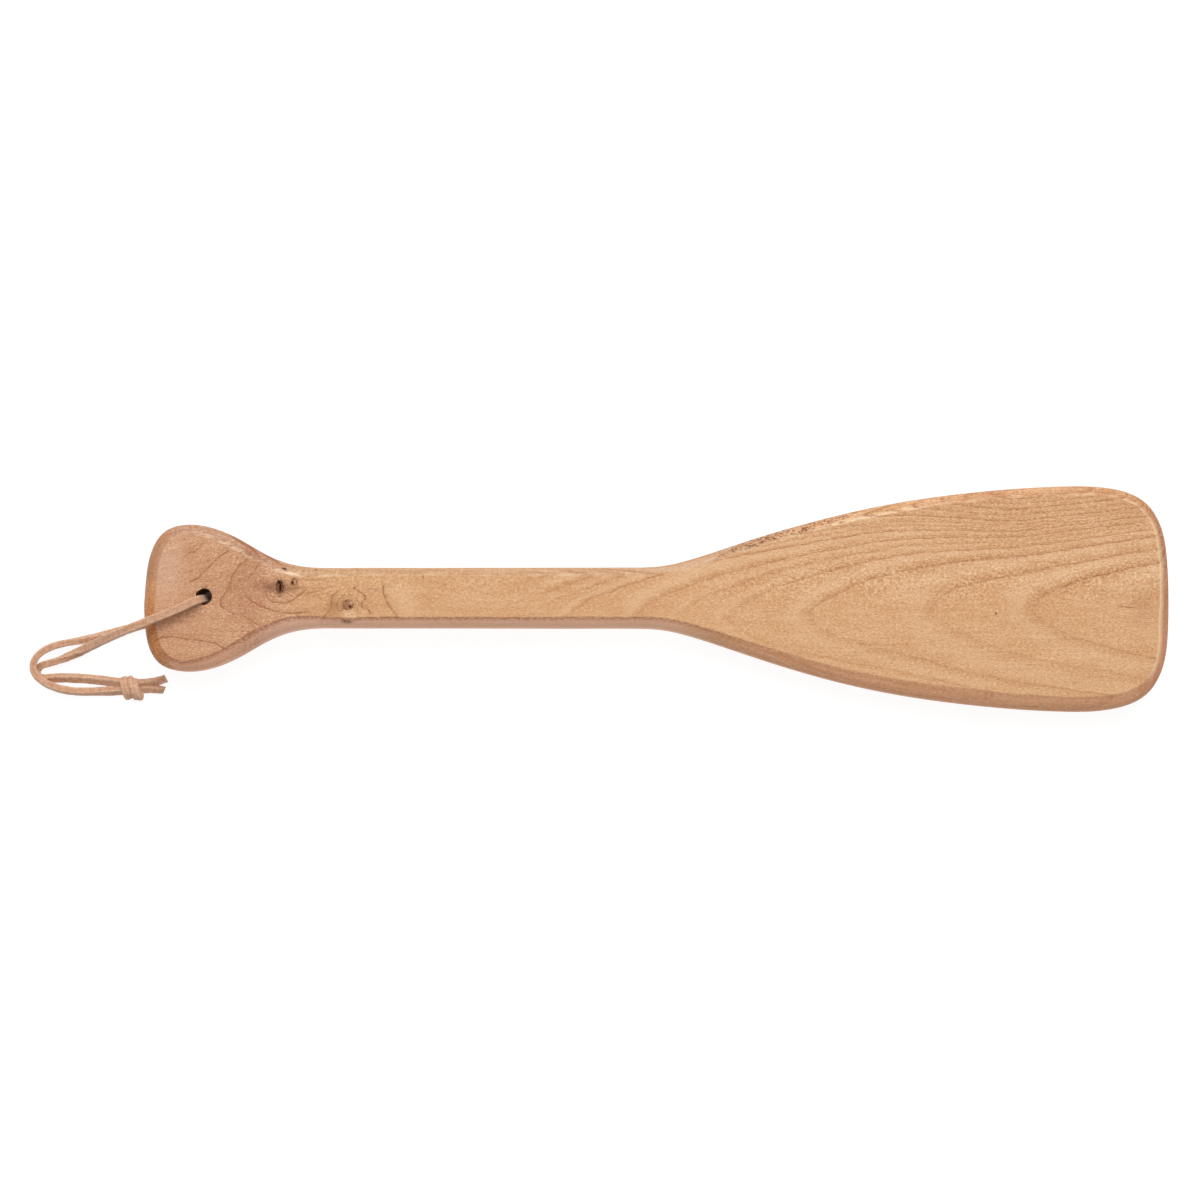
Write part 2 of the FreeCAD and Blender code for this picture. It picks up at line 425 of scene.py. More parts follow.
# Patches of tone on the upper face and the far edge: centre, radii, degrees, softness, share and
# colour (sRGB, 0 to 255, as are all colours here)
TONE_PATCHES = [
    # painted sheen: a pale haze on the face at the grip's left end
    ((-243, 14), (8, 16), 0, 0.7, 0.15, (234, 208, 193)),
    ((-202, 3), (9, 15), 0, 0.5, 0.34, (170, 114, 82)),
    ((-208, 28.6), (7.5, 0.75), -35, 0.6, 0.8, (146, 92, 56)),
    ((-201.4, 24.8), (6.5, 0.7), -45, 0.6, 0.8, (146, 92, 56)),
    ((-198.8, 26), (5, 0.5), -40, 0.6, 0.7, (142, 88, 54)),
    ((-193.2, 20.6), (7.5, 0.65), -33, 0.6, 0.75, (142, 88, 54)),
    ((-187.4, 4.8), (8.6, 2.9), -3, 0.8, 0.66, (136, 86, 60)),
    ((-191.6, 4.8), (1.7, 1.3), 0, 0.7, 0.4, (112, 74, 58)),
    ((-179.8, 3.9), (4.6, 0.7), 8, 0.8, 0.45, (130, 82, 58)),
    ((-179.2, 7.3), (2, 2.1), 0, 0.5, 0.4, (146, 96, 66)),
    # painted highlight along the far crease at the neck
    ((-181, 11.2), (6.4, 0.7), -13, 0.7, 0.42, (246, 220, 194)),
    ((-170.5, 2.2), (5.5, 0.5), 12, 0.8, 0.5, (158, 102, 62)),
    ((-166.5, 4.4), (6.5, 0.4), 5, 0.8, 0.45, (160, 104, 64)),
    ((-171, 0.4), (4.5, 0.4), 10, 0.8, 0.4, (160, 104, 64)),
    ((-168, 8.4), (8, 0.5), -2, 0.8, 0.35, (164, 108, 68)),
    ((-159, -5.8), (4, 4.8), 20, 0.7, 0.4, (158, 102, 66)),
    ((-170, -7.2), (7, 2.6), 10, 0.8, 0.25, (164, 108, 72)),
    ((-152.5, -4.1), (2.7, 2.5), -20, 0.4, 0.7, (134, 84, 54)),
    ((-151, -3.1), (0.7, 0.6), 0, 0.7, 0.5, (232, 196, 164)),
    ((-152.2, -8.6), (3.4, 2), 0, 0.6, 0.55, (236, 196, 156)),
    ((-153.2, -12.2), (2.7, 1), 0, 0.7, 0.6, (118, 70, 44)),
    ((-154.2, -12), (0.5, 0.4), 0, 0.6, 0.6, (78, 44, 28)),
    ((-151.9, -12.4), (0.6, 0.35), 0, 0.6, 0.55, (84, 48, 30)),
    ((-172.7, 9.9), (0.45, 0.4), 0, 0.6, 0.55, (112, 66, 40)),
    ((-169, 13.5), (0.55, 0.45), 0, 0.6, 0.7, (92, 54, 36)),
    ((-139.2, 3.6), (2.9, 0.7), -6, 0.8, 0.45, (172, 128, 110)),
    ((-125, -2), (5, 8), 25, 0.8, 0.22, (238, 200, 164)),
    ((-222.3, 18), (0.5, 0.45), 0, 0.6, 0.55, (112, 66, 42)),
    ((-233.9, 28.8), (0.6, 0.35), -20, 0.6, 0.55, (112, 66, 42)),
    ((-204.5, -17), (0.45, 0.4), 0, 0.6, 0.45, (120, 72, 46)),
    ((240, -6), (6, 9), 0, 0.8, 0.22, (160, 106, 72)),
    ((233, -5.2), (4.4, 0.22), -2, 0.6, 0.75, (134, 80, 48)),
]
# Dark specks, pinholes and cracks: centre, radii, degrees
DARK_MARKS = [
    ((-186.1, 4.6), (0.42, 2), -3),
    ((-186.8, 7), (0.4, 0.95), 38),
    ((-180, 6.9), (0.42, 0.75), 6),
    ((-184.3, 13.9), (1.35, 0.42), -12),
    ((-151.5, -5), (0.55, 0.55), 0),
    ((168.1, -8.4), (0.45, 0.36), 20),
    ((-115.4, 9.9), (0.12, 1.1), 8),
]
# The wood's own colour from its dark fibres to its pale ones, and what darkens or pales it
BLADE_TONES = [(0, (164, 106, 60)), (0.5, (207, 158, 113)), (1, (240, 206, 169))]
GRIP_TONES = [(0, (146, 92, 58)), (0.5, (196, 145, 109)), (1, (236, 199, 167))]
RING_PALE = (238, 204, 168)
RING_DARK = (154, 92, 48)
LINE_DARK = (142, 82, 46)
STIPPLE_DARK = (124, 70, 38)
# painted highlight along the crease
CREASE_HIGHLIGHT = (246, 221, 184)
# a darker line along the near side's crease
CREASE_DARK_LINE = (142, 88, 58)
KNOT_HEART = (104, 62, 40)
KNOT_RIM = (72, 40, 24)
# painted shade inside the hole
BORE_SHADE = (74, 42, 26)
CRACK_DARK = (58, 26, 12)
LEATHER_TONES = [(0.28, (136, 88, 62)), (0.44, (188, 138, 106)), (0.56, (210, 163, 131)),
                 (0.76, (234, 198, 169))]
LEATHER_EDGE = (238, 208, 178)


def grain_tone(s, x, y, z, grip, band):
    """The fibres' tone, where 0.5 is the wood's own and less is darker; the flecks; the rays."""
    # the fibres rise towards +X in the upper half of the grip
    level = s.add(s.math("MINIMUM", x, -196), 225)
    across = s.subtract(y, s.times(level, s.fade(y, -6, 20), 0.34))
    bend = s.figure((x, y, z), (11, 8, 8), 1)
    across = s.add(across, s.sway(bend, s.add(s.times(grip, 1.5), 1.1)))
    fleck = s.figure((x, across, z), (1.5, 0.5, 1.3), 1)
    fibre = s.figure((x, across, z), (16, 1.1, 1.4), 3, 0.6)
    rays = s.node("ShaderNodeTexVoronoi", feature="F1")
    place = s.vector(s.divide(x, 2.6), s.divide(across, 0.95), s.divide(z, 3))
    s.feed(rays.inputs["Vector"], place)
    s.feed(rays.inputs["Scale"], 1)
    ray = s.fade(rays.outputs["Distance"], 0.42, 0.12)
    cloud = s.figure((x, y, z), (34, 12, 12), 2)
    layers = s.figure((x, y, z), (30, 30, 0.75), 2)
    curl = s.figure((x, y, z), (1.3, 1.1, 1.5), 1)
    near_knots = s.times(s.fade(x, -128, -150), s.fade(x, -222, -205))
    busy = s.add(s.times(s.math("MAXIMUM", s.fade(x, 10, 60), grip), 0.2), 0.62)
    speck = s.figure((x, across, z), (0.85, 0.42, 0.8), 1)
    tone = s.add(s.sway(fleck, 0.95), s.sway(fibre, 0.45))
    tone = s.add(tone, s.sway(speck, 0.75))
    tone = s.add(s.subtract(tone, s.times(ray, 0.14)), 0.035)
    busy = s.add(busy, s.times(s.fade(x, 40, 90), s.fade(y, -2, 14), 0.3))
    tone = s.add(s.times(tone, busy), s.sway(cloud, 0.22))
    tone = s.add(tone, s.times(s.sway(curl, 0.55), near_knots))
    tone = s.add(tone, s.times(s.sway(layers, 0.55), band))
    return s.add(tone, 0.5), fleck, ray


def edge_tones(s, colour, x, y, z, band, crease):
    """Side grain round the board's edge, painted light on its near side, a painted highlight along the
    crease and a darker line along the near crease.
    """
    grip_end = s.times(band, s.fade(x, -236, -245))
    far = s.times(band, s.fade(y, 6, 10))
    near = s.times(band, s.fade(y, -6, -10))
    grip_side = s.times(s.fade(x, -198, -214), s.fade(x, -246, -236))
    shaft_side = s.times(s.fade(x, -215, -180), s.fade(x, 40, 0))
    blade_side = s.times(s.fade(y, -8, -24), s.fade(x, 20, 60))
    for share, tone, blend in (
        (band, (250, 247, 248), "MULTIPLY"),
        (s.times(grip_end, s.fade(z, 3.5, 7)), (246, 226, 190), "MULTIPLY"),
        (s.times(grip_end, s.fade(z, 7, 3.5), 0.3), (178, 142, 126), "MIX"),
        (s.times(band, s.fade(x, 235, 249)), (234, 218, 214), "MULTIPLY"),
        (s.times(far, s.fade(x, 90, 40)), (238, 244, 252), "MULTIPLY"),
        # painted light: the near side made paler and pinker for light bounced up from the floor, with a
        # painted sheen along the shaft
        (s.times(near, shaft_side, 0.54), (242, 194, 170), "MIX"),
        (s.times(near, blade_side, 0.26), (224, 152, 122), "MIX"),
        (s.times(near, grip_side, 0.48), (242, 186, 154), "MIX"),
    ):
        colour = s.mix(share, colour, tone, blend)
    # painted highlight along the crease, broken up, and an unbroken painted glint at the blade's end
    painted_highlight = s.figure((x, y, 0), (7, 2.5, 1), 2)
    painted_highlight = s.math("MAXIMUM", s.fade(painted_highlight, 0.4, 0.6), s.times(s.fade(x, 235, 248), 0.9))
    painted_highlight = s.times(s.math("MAXIMUM", crease, 0), painted_highlight)
    colour = s.mix(s.times(painted_highlight, 0.66), colour, CREASE_HIGHLIGHT)
    # a darker, blotched line along the near side's crease
    dark_line = s.math("MAXIMUM", s.times(crease, -1), 0)
    blotch = s.figure((x, y, 0), (1.6, 1.2, 1), 2)
    dark_line = s.times(dark_line, s.add(s.times(s.fade(blotch, 0.36, 0.6), 0.5), 0.4))
    return s.mix(dark_line, colour, CREASE_DARK_LINE)


def wood_material():
    """Bare pale hardwood, drawn through the whole solid, so that faces and edges agree."""
    s = Shader("paddle_wood")
    x, y, z = s.place()
    band = s.node("ShaderNodeAttribute", attribute_name="band").outputs["Fac"]
    crease = s.node("ShaderNodeAttribute", attribute_name="crease").outputs["Fac"]
    grip = s.fade(x, -166, -196)
    near_knot = s.spot(x, y, (-168, 1), (44, 26), 0, 0.3)
    on_grip = s.math("MAXIMUM", s.times(s.fade(x, -180, -200), s.subtract(1, band)),
                     s.fade(x, -225, -238))
    plain = s.math("MAXIMUM", s.times(near_knot, 0.95), s.times(on_grip, 0.9))
    waver = s.figure((x, y, z), (5, 4, 4), 2)
    wavy = s.add(y, s.sway(waver, 1.2))
    rings, halo = ring_lines(s, x, wavy, z)
    shown = s.subtract(1, plain)
    rings = s.times(rings, shown)
    lines = neck_lines(s, x, y, z)
    rims = knot_rings(s, x, y, z)
    tone, fleck, ray = grain_tone(s, x, y, z, grip, band)
    colour = s.mix(grip, s.ramp(tone, BLADE_TONES), s.ramp(tone, GRIP_TONES))
    stipple = s.figure((x, y, z), (1.7, 1, 1), 1)
    stipple = s.times(s.fade(stipple, 0.5, 0.6), band, s.fade(y, 14, 20))
    stipple = s.times(stipple, s.fade(x, 24, 44), s.fade(x, 112, 84))
    for share, tone in (
        (s.times(halo, shown, 0.16), RING_PALE),
        (s.math("MINIMUM", s.times(rings, 0.8), 0.9), RING_DARK),
        (s.times(lines, 0.7), LINE_DARK),
        (s.times(stipple, 0.8), STIPPLE_DARK),
    ):
        colour = s.mix(share, colour, tone)
    colour = edge_tones(s, colour, x, y, z, band, crease)
    for centre, radii, degrees, soft, share, shade in TONE_PATCHES:
        colour = s.mix(s.times(s.spot(x, y, centre, radii, degrees, soft), share), colour, shade)
    heart = s.spot(x, y, MAIN_KNOT, (1.9, 3.2), 0, 0.25)
    # painted shade down the inside of the hole
    bore_shade = s.spot(x, y, (HOLE_X, 0), (HOLE_RADIUS + 0.3, HOLE_RADIUS + 0.3), 0, 0.02)
    bore_shade = s.times(bore_shade, s.fade(z, HALF_THICKNESS - 0.05, HALF_THICKNESS - 0.5))
    marks = [s.spot(x, y, *mark, 0.45) for mark in DARK_MARKS]
    crack = s.times(s.largest(marks), s.fade(z, 0, 2))
    for share, tone in (
        (s.times(heart, 0.82), KNOT_HEART),
        (s.times(rims, 0.95), KNOT_RIM),
        (s.times(bore_shade, 0.8), BORE_SHADE),
        (s.times(crack, 0.92), CRACK_DARK),
    ):
        colour = s.mix(share, colour, tone)
    height = s.subtract(s.times(fleck, 0.55), s.add(s.times(rings, 0.1), s.times(ray, 0.12)))
    height = s.subtract(height, s.add(s.times(crack, 4), s.times(s.add(lines, rims), 0.15)))
    rough = s.add(s.times(fleck, 0.2), 0.48)
    s.surface.inputs["Specular IOR Level"].default_value = 0.14
    return s.finish(colour, rough, height, 0.08)


def leather_material():
    """Undyed suede-like leather, paler along its cut edges."""
    s = Shader("thong_leather")
    x, y, z = s.place()
    place = s.vector(x, y, z)
    edge = s.node("ShaderNodeAttribute", attribute_name="edge").outputs["Fac"]
    nap = s.noise(place, 3.4, 3, 0.65)
    mottle = s.noise(place, 0.55, 2)
    grain = s.noise(place, 1.5, 2)
    tone = s.add(s.times(nap, 0.66), s.times(mottle, 0.34))
    colour = s.ramp(tone, LEATHER_TONES)
    pale = s.times(edge, s.fade(grain, 0.34, 0.66))
    colour = s.mix(s.times(pale, 0.5), colour, LEATHER_EDGE)
    height = s.add(s.times(nap, 0.7), s.times(mottle, 0.5))
    s.surface.inputs["Specular IOR Level"].default_value = 0.2
    s.surface.inputs["Sheen Weight"].default_value = 0.25
    s.surface.inputs["Sheen Roughness"].default_value = 0.5
    return s.finish(colour, s.add(s.times(nap, 0.15), 0.75), height, 0.25)


def floor_material():
    """White that glows, so that shadows don't show, with a painted shadow below the hole, where the
    glow is turned off.
    """
    s = Shader("pale_floor")
    x, y, z = s.place()
    grain = s.noise(s.vector(x, y, z), 0.02, 2.0)
    colour = s.ramp(grain, [(0.3, (120, 120, 120)), (0.7, (124, 124, 124))])
    s.surface.inputs["Specular IOR Level"].default_value = 0.0
    s.surface.inputs["Emission Color"].default_value = (1.0, 1.0, 1.0, 1.0)
    # painted shadow: no glow below the hole, so that the hole reads dark
    painted_shadow_spot = s.spot(x, y, (HOLE_X, 1.5), (8.0, 8.0), 0.0, 0.3)
    s.feed(s.surface.inputs["Emission Strength"], s.times(s.subtract(1.0, painted_shadow_spot), 0.88))
    return s.finish(colour, 0.9, grain, 0.01)


# ---- camera, stage and light

def make_camera():
    data = bpy.data.cameras.new("camera")
    data.lens = CAMERA_LENS
    data.sensor_width = 36.0
    data.shift_x, data.shift_y = CAMERA_SHIFT
    data.clip_end = 20.0   # m
    camera = link(bpy.data.objects.new("camera", data))
    away = Vector((0.0, -math.cos(CAMERA_ELEVATION), math.sin(CAMERA_ELEVATION)))
    camera.location = (Vector(CAMERA_AIM) + away * CAMERA_DISTANCE) * MM
    camera.rotation_euler = (math.pi / 2 - CAMERA_ELEVATION, 0.0, 0.0)
    bpy.context.scene.camera = camera


def make_stage():
    corners = []
    for sx, sy in ((-1, -1), (1, -1), (1, 1), (-1, 1)):
        x, y = sx * FLOOR_HALF, sy * FLOOR_HALF
        corners.append(Vector((x, y, floor_height(x))) * MM)
    floor = mesh_object("floor", corners, [(0, 1, 2, 3)], floor_material(), False)


def area_light(name, place, aim, size, power):
    """A rectangular lamp; metres and watts."""
    data = bpy.data.lights.new(name, "AREA")
    data.shape = "RECTANGLE"
    data.size, data.size_y = size
    data.energy = power
    lamp = link(bpy.data.objects.new(name, data))
    lamp.location = place
    lamp.rotation_euler = (Vector(aim) - Vector(place)).to_track_quat("-Z", "Y").to_euler()


def make_lights():
    world = bpy.data.worlds.new("studio")
    world.use_nodes = True
    background = world.node_tree.nodes["Background"]
    background.inputs["Color"].default_value = (1.0, 1.0, 1.0, 1.0)
    background.inputs["Strength"].default_value = 0.42
    bpy.context.scene.world = world
    area_light("window", (0.0, 1.1, 1.25), (0.0, 0.0, 0.0), (2.4, 0.8), 24.5)
    area_light("ceiling", (0.1, 0.3, 2.2), (0.0, 0.0, 0.0), (1.6, 1.6), 9.5)
    bpy.context.scene.view_settings.view_transform = "Standard"


# ---- the thong

def centre_line(name, route):
    """Points along the smooth NURBS line whose control points are the route."""
    data = bpy.data.curves.new(name, "CURVE")
    data.dimensions = "3D"
    data.resolution_u = 16
    spline = data.splines.new("NURBS")
    spline.points.add(len(route) - 1)
    for point, place in zip(spline.points, route):
        point.co = (*[c * MM for c in place], 1.0)
    spline.order_u = 3
    spline.use_endpoint_u = True
    curve = link(bpy.data.objects.new(name, data))
    mesh = bpy.data.meshes.new_from_object(curve)
    points = [v.co.copy() for v in mesh.vertices]
    bpy.data.objects.remove(curve)
    bpy.data.meshes.remove(mesh)
    return points


def section(width, thickness, corner):
    """A rectangle with rounded corners: (across, up, how near a corner from 0 to 1)."""
    points = []
    for turn, (sx, sy) in enumerate(((1, 1), (-1, 1), (-1, -1), (1, -1))):
        for step in range(4):
            angle = math.pi / 2 * (turn + step / 3)
            x = sx * (width / 2 - corner) + corner * math.cos(angle)
            y = sy * (thickness / 2 - corner) + corner * math.sin(angle)
            points.append((x, y, 1.0))
        length = width if turn % 2 == 0 else thickness
        inner = length / 2 - corner
        for share in (0.6, 0.0, -0.6):
            if turn % 2 == 0:
                points.append((sx * inner * share, sy * thickness / 2, 0.25 * abs(share)))
            else:
                points.append((sx * width / 2, sy * inner * share, 0.25 * abs(share)))
    return points


def turn_at(turns, share):
    """The thong's turn about its own line, eased between the listed shares."""
    for (low, first), (high, second) in zip(turns, turns[1:]):
        if share <= high:
            return first + (second - first) * float(smoothstep(low, high, share))
    return turns[-1][1]


def sweep(name, points, turns, side, material, slant=0.0, taper=0.0, seed=0.0, width=LACE_WIDTH,
          thickness=LACE_THICKNESS, corner_radius=LACE_CORNER):
    """The thong's section carried along points; side is its wide direction at the first one.

    slant cuts the far end askew, and taper thins it.
    """
    outline = section(width, thickness, corner_radius)
    lengths = [0.0]
    for before, after in zip(points, points[1:]):
        lengths.append(lengths[-1] + (after - before).length)
    vertices, edges = [], []
    side = Vector(side).normalized()
    for i, point in enumerate(points):
        tangent = (points[min(i + 1, len(points) - 1)] - points[max(i - 1, 0)]).normalized()
        side = (side - tangent * side.dot(tangent)).normalized()
        share = lengths[i] / lengths[-1]
        turned = Quaternion(tangent, math.radians(turn_at(turns, share))) @ side
        up = tangent.cross(turned)
        thin = 1.0 - taper * float(smoothstep(0.8, 1.0, share))
        for across, rise, corner in outline:
            lean = slant * across * MM * float(smoothstep(0.9, 1.0, share))
            place = point + turned * across * MM + up * rise * thin * MM + tangent * lean
            outward = (turned * across + up * rise).normalized()
            ragged = roughen(place / MM, 0.9, 0.10, seed)
            ragged += roughen(place / MM, 3.5, 0.16, seed + 5)
            vertices.append(place + outward * ragged * (0.5 + 0.5 * corner) * MM)
            edges.append(corner)
    count = len(outline)
    faces = []
    for i in range(len(points) - 1):
        for j in range(count):
            k = (j + 1) % count
            faces.append((i * count + j, i * count + k, (i + 1) * count + k, (i + 1) * count + j))
    for ring, flip in ((0, True), (len(points) - 1, False)):
        centre = sum((vertices[ring * count + j] for j in range(count)), Vector()) / count
        vertices.append(centre)
        edges.append(0.3)
        hub = len(vertices) - 1
        for j in range(count):
            k = (j + 1) % count
            a, b = ring * count + j, ring * count + k
            faces.append((hub, b, a) if flip else (hub, a, b))
    piece = mesh_object(name, vertices, faces, material)
    mark_points(piece, "edge", edges)
    turn_faces_outward(piece)
    return piece


def wrap_points(shift, lean, reach, height, drop=0.0):
    """One strand's turn round the knot, from inside it, over the top and back inside."""
    x0, y0, z0 = KNOT_CENTRE
    y0 -= drop
    points = []
    for i in range(WRAP_STEPS + 1):
        share = i / WRAP_STEPS
        angle = 2 * math.pi * (WRAP_TURNS * (share - 0.5)) + math.pi / 2
        tuck = 1.0 - 0.62 * float(smoothstep(0.36, 0.5, abs(share - 0.5)))
        y = y0 + reach * math.cos(angle) * tuck
        z = z0 + height * math.sin(angle) * tuck
        x = x0 + shift + lean * (y0 - y) / reach + 1.2 * (share - 0.5)
        points.append(Vector((x, y, z)) * MM)
    return points


def make_knot(material):
    """An overhand knot of both strands: turns side by side round the strands inside."""
    turns = []
    for name, points, turn, width in (
        ("left", wrap_points(-2.2, 0.9, 4.1, 2.7), [(0, 0), (1, 0)], 4.0),
        ("middle", wrap_points(1.3, 1.3, 4.5, 2.8), [(0, -8), (0.5, 22), (1, 10)], 3.0),
        ("right", wrap_points(3.5, 1.0, 4.0, 2.5, drop=0.7), [(0, -8), (0.5, 30), (1, 10)], 2.9),
    ):
        turns.append(sweep(f"knot_turn_{name}", points, turn, (1, 0, 0), material,
                           seed=3.0 + len(turns), width=width, corner_radius=KNOT_CORNER))
    core = []
    x0, y0, z0 = KNOT_CENTRE
    for i, (dy, dz) in enumerate(((2.0, -0.6), (-1.6, -0.8))):
        points = [Vector((x0 + dx, y0 + dy, z0 + dz)) * MM for dx in (-3.6, -1.2, 1.2, 3.6)]
        core.append(sweep(f"knot_core_{i + 1}", points, [(0, 0), (1, 0)], (0, 1, 0), material,
                          seed=6.0 + i))
    return [*turns, *core]


def make_thong():
    material = leather_material()
    side = Vector(LACE_HEADING).cross(Vector((0, 0, 1)))
    upper_line = centre_line("upper_line", UPPER_ROUTE)
    lower_line = centre_line("lower_line", LOWER_ROUTE)
    upper = sweep("thong_upper_strand", upper_line, UPPER_TURNS, side, material, seed=1.0)
    lower = sweep("thong_lower_strand", lower_line, LOWER_TURNS, side, material, seed=2.0)
    knot = make_knot(material)
    long_line = centre_line("tail_line", LONG_TAIL)
    short_line = centre_line("tail_line", SHORT_TAIL)
    long_tail = sweep("thong_tail_long", long_line, [(0, 60), (0.6, 30), (1, 5)], (0, 1, 0),
                      material, slant=-0.12, seed=8.0)
    short_tail = sweep("thong_tail_short", short_line, [(0, 10), (1, 40)], (0, 1, 0), material,
                       slant=0.3, taper=0.35, seed=9.0, width=3.7, thickness=3.0)
    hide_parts("lace_upper_strand")
    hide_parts("lace_lower_strand")
    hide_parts("lace_knot")
    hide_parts("lace_tail_long")
    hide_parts("lace_tail_short")
    for piece in (upper, lower, *knot, long_tail, short_tail):
        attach(piece, "lanyard")


# ---- the board

# Width of the roundover seen from above, along each side: x, towards +Y, towards -Y
ROUNDOVER_WIDTHS = [
    (-255, 6.8, 6.8), (-246, 6.4, 5.8), (-235, 5.2, 4.6), (-205, 5.6, 5.9), (-180, 4.9, 6.2),
    (-160, 4.3, 4.7), (-100, 4.4, 4.5), (0, 4.6, 5.0), (60, 4.9, 6.0), (150, 5.0, 7.0),
    (230, 5.0, 6.6), (248, 5.2, 5.6), (255, 5.2, 5.2),
]
ROUNDOVER_DROP = 6.2
ROUNDOVER_STEPS = 12
BACK_ROUNDOVER = 5.5
BACK_STEPS = 8
FAR_SLOPE = 20.0          # degrees at which the roundover leaves the upper face, on the +Y side
NEAR_SLOPE = 38.0         # and on the -Y side, where the sanding was lighter
EDGE_DIP = 0.05           # how far the face has already fallen there
WALL_RING = -0.4          # height of the one ring of points part way down the wall
# How much of the crease's painted highlight and darker line, and of the side grain, the rings have from
# the face outwards
CREASE_BY_RING = (0.0, 0.8, 1.0, 0.75, 0.4)
BAND_BY_RING = (0.0, 0.0, 0.5)
# The unevenness of the sawn outline: the blade's shift to -Y, its end's skew and the grip end's
BLADE_SHIFT = 0.35
BLADE_SKEW = 0.012
GRIP_SKEW = 0.5
# Pits in the knots of the upper face: x, y, radii along X and Y, depth
KNOT_PITS = [
    (-186.1, 4.6, 0.5, 2.2, 1.3),
    (-186.8, 7.0, 0.5, 0.9, 0.8),
    (-180.0, 6.9, 0.5, 0.9, 0.7),
    (-151.5, -5.0, 0.6, 0.55, 0.5),
]
KNOT_RIDGE = (3.2, 3.8)   # radii of the low ridge round the main knot
RIDGE_HEIGHT = 0.12
# Spacing of the points inside the flat faces
FACE_GRID = 2.4
BACK_GRID = 5.0
KNOT_GRID = 0.3
KNOT_PATCH = (3.6, 4.2)   # half size of the patch with the close grid, along X and Y
ROW_GAP = 0.866           # between rows, for each step along a row
# The drilled wall from the upper face to the back: height, and how much wider the hole is there
HOLE_SECTION = [(9.0, 0.32), (8.86, 0.14), (8.6, 0.04), (7.4, 0.0), (3.0, 0.0), (-3.0, 0.0),
                (-8.5, 0.0), (-9.0, 0.5)]
HOLE_STEPS = 72
# How strong the painted highlight on the far side's crease is, from the grip to the blade: (x, share)
FAR_HIGHLIGHT = [(-255, 0.1), (-240, 0.15), (-226, 0.4), (-208, 0.95), (-196, 0.7), (-190, 0.5),
            (-184, 1.0), (-168, 0.7), (-152, 0.25), (-100, 0.2), (-60, 0.3), (0, 0.25), (60, 0.35),
            (82, 0.5), (95, 1.0), (124, 0.95), (140, 0.5), (220, 0.5), (255, 0.7)]
NEAR_DARK_LINE = [(-200, 0.9), (20, 0.8), (80, 0.35)]   # and how dark the near side's crease line is made
# Slivers of wood torn up round the hole's upper mouth: from and to, in degrees round the rim, how
# far each lies from the hole's middle, and its width
SPLINTERS = [
    (102, 142, 4.15, 0.5),
    (-78, -26, 4.1, 0.45),
    (160, 186, 4.15, 0.4),
]
SPLINTER_STEPS = 12
SPLINTER_HIGHLIGHT = 1.4       # their painted highlight, where 1 is the crease's


def wall_outline():
    """The board's sawn outline from the CAD model: the top of its upright wall, counterclockwise."""
    wall_top = HALF_THICKNESS - BACK_ROUNDOVER
    wall = set()
    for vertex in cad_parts["paddle_body"].data.vertices:
        x, y, z = (axis / MM for axis in vertex.co)
        if abs(z - wall_top) < 0.1:
            wall.add((round(x, 4), round(y, 4)))

    def turn(point):
        """Sorts round the board, as seen from the nearest point of its middle line."""
        x, y = point
        angle = math.atan2(y, x - min(max(x, -200.0), 200.0))
        return (angle, -x if y > 0 else x)

    corners = []
    for point in sorted(wall, key=turn):
        if not corners or math.dist(point, corners[-1]) > 0.2:
            corners.append(point)
    return [np.array(p) for p in corners]


def edge_step(x):
    """Distance between the outline's points, which is less at the bends of the neck."""
    return 0.6 if -200 < x < -135 else 1.2


def smooth_loop(points):
    """The closed loop through the points, with smooth bends and close steps."""
    count = len(points)
    gaps = [np.linalg.norm(points[(i + 1) % count] - points[i]) for i in range(count)]
    slopes = []
    for i in range(count):
        before, after = gaps[i - 1], gaps[i]
        into = (points[i] - points[i - 1]) / before
        out = (points[(i + 1) % count] - points[i]) / after
        slopes.append((into * after + out * before) / (before + after))
    loop = []
    for i in range(count):
        a, b = points[i], points[(i + 1) % count]
        leave, arrive = gaps[i] * slopes[i], gaps[i] * slopes[(i + 1) % count]
        steps = max(1, round(gaps[i] / edge_step(a[0])))
        for k in range(steps):
            t = k / steps
            from_a = (2 * t**3 - 3 * t**2 + 1) * a + (t**3 - 2 * t**2 + t) * leave
            to_b = (3 * t**2 - 2 * t**3) * b + (t**3 - t**2) * arrive
            loop.append(from_a + to_b)
    return np.array(loop)


def hand_cut(loop):
    """The small unevenness of an outline sawn and sanded by hand."""
    x, y = loop[:, 0].copy(), loop[:, 1].copy()
    blade = smoothstep(40.0, 90.0, x) * (1 - 0.6 * smoothstep(215.0, 250.0, x))
    loop[:, 1] = y - BLADE_SHIFT * blade
    blade_end = BLADE_SKEW * y * smoothstep(150.0, 240.0, x)
    grip_end = GRIP_SKEW * np.clip((y + 12.0) / 14.0, -1.0, 0.9) * smoothstep(-215.0, -245.0, x)
    loop[:, 0] = x + blade_end + grip_end
    return loop


def roundover_widths(loop):
    """Roundover width at each point of the loop, with the waver of hand sanding."""
    table = np.array(ROUNDOVER_WIDTHS)
    far = np.interp(loop[:, 0], table[:, 0], table[:, 1])
    near = np.interp(loop[:, 0], table[:, 0], table[:, 2])
    share = smoothstep(-6.0, 6.0, loop[:, 1])
    slow = np.array([roughen((x, y, 0.0), 26.0, 0.55) for x, y in loop])
    quick = np.array([roughen((x, y, 7.0), 7.0, 0.16) for x, y in loop])
    return far * share + near * (1 - share) + slow + quick


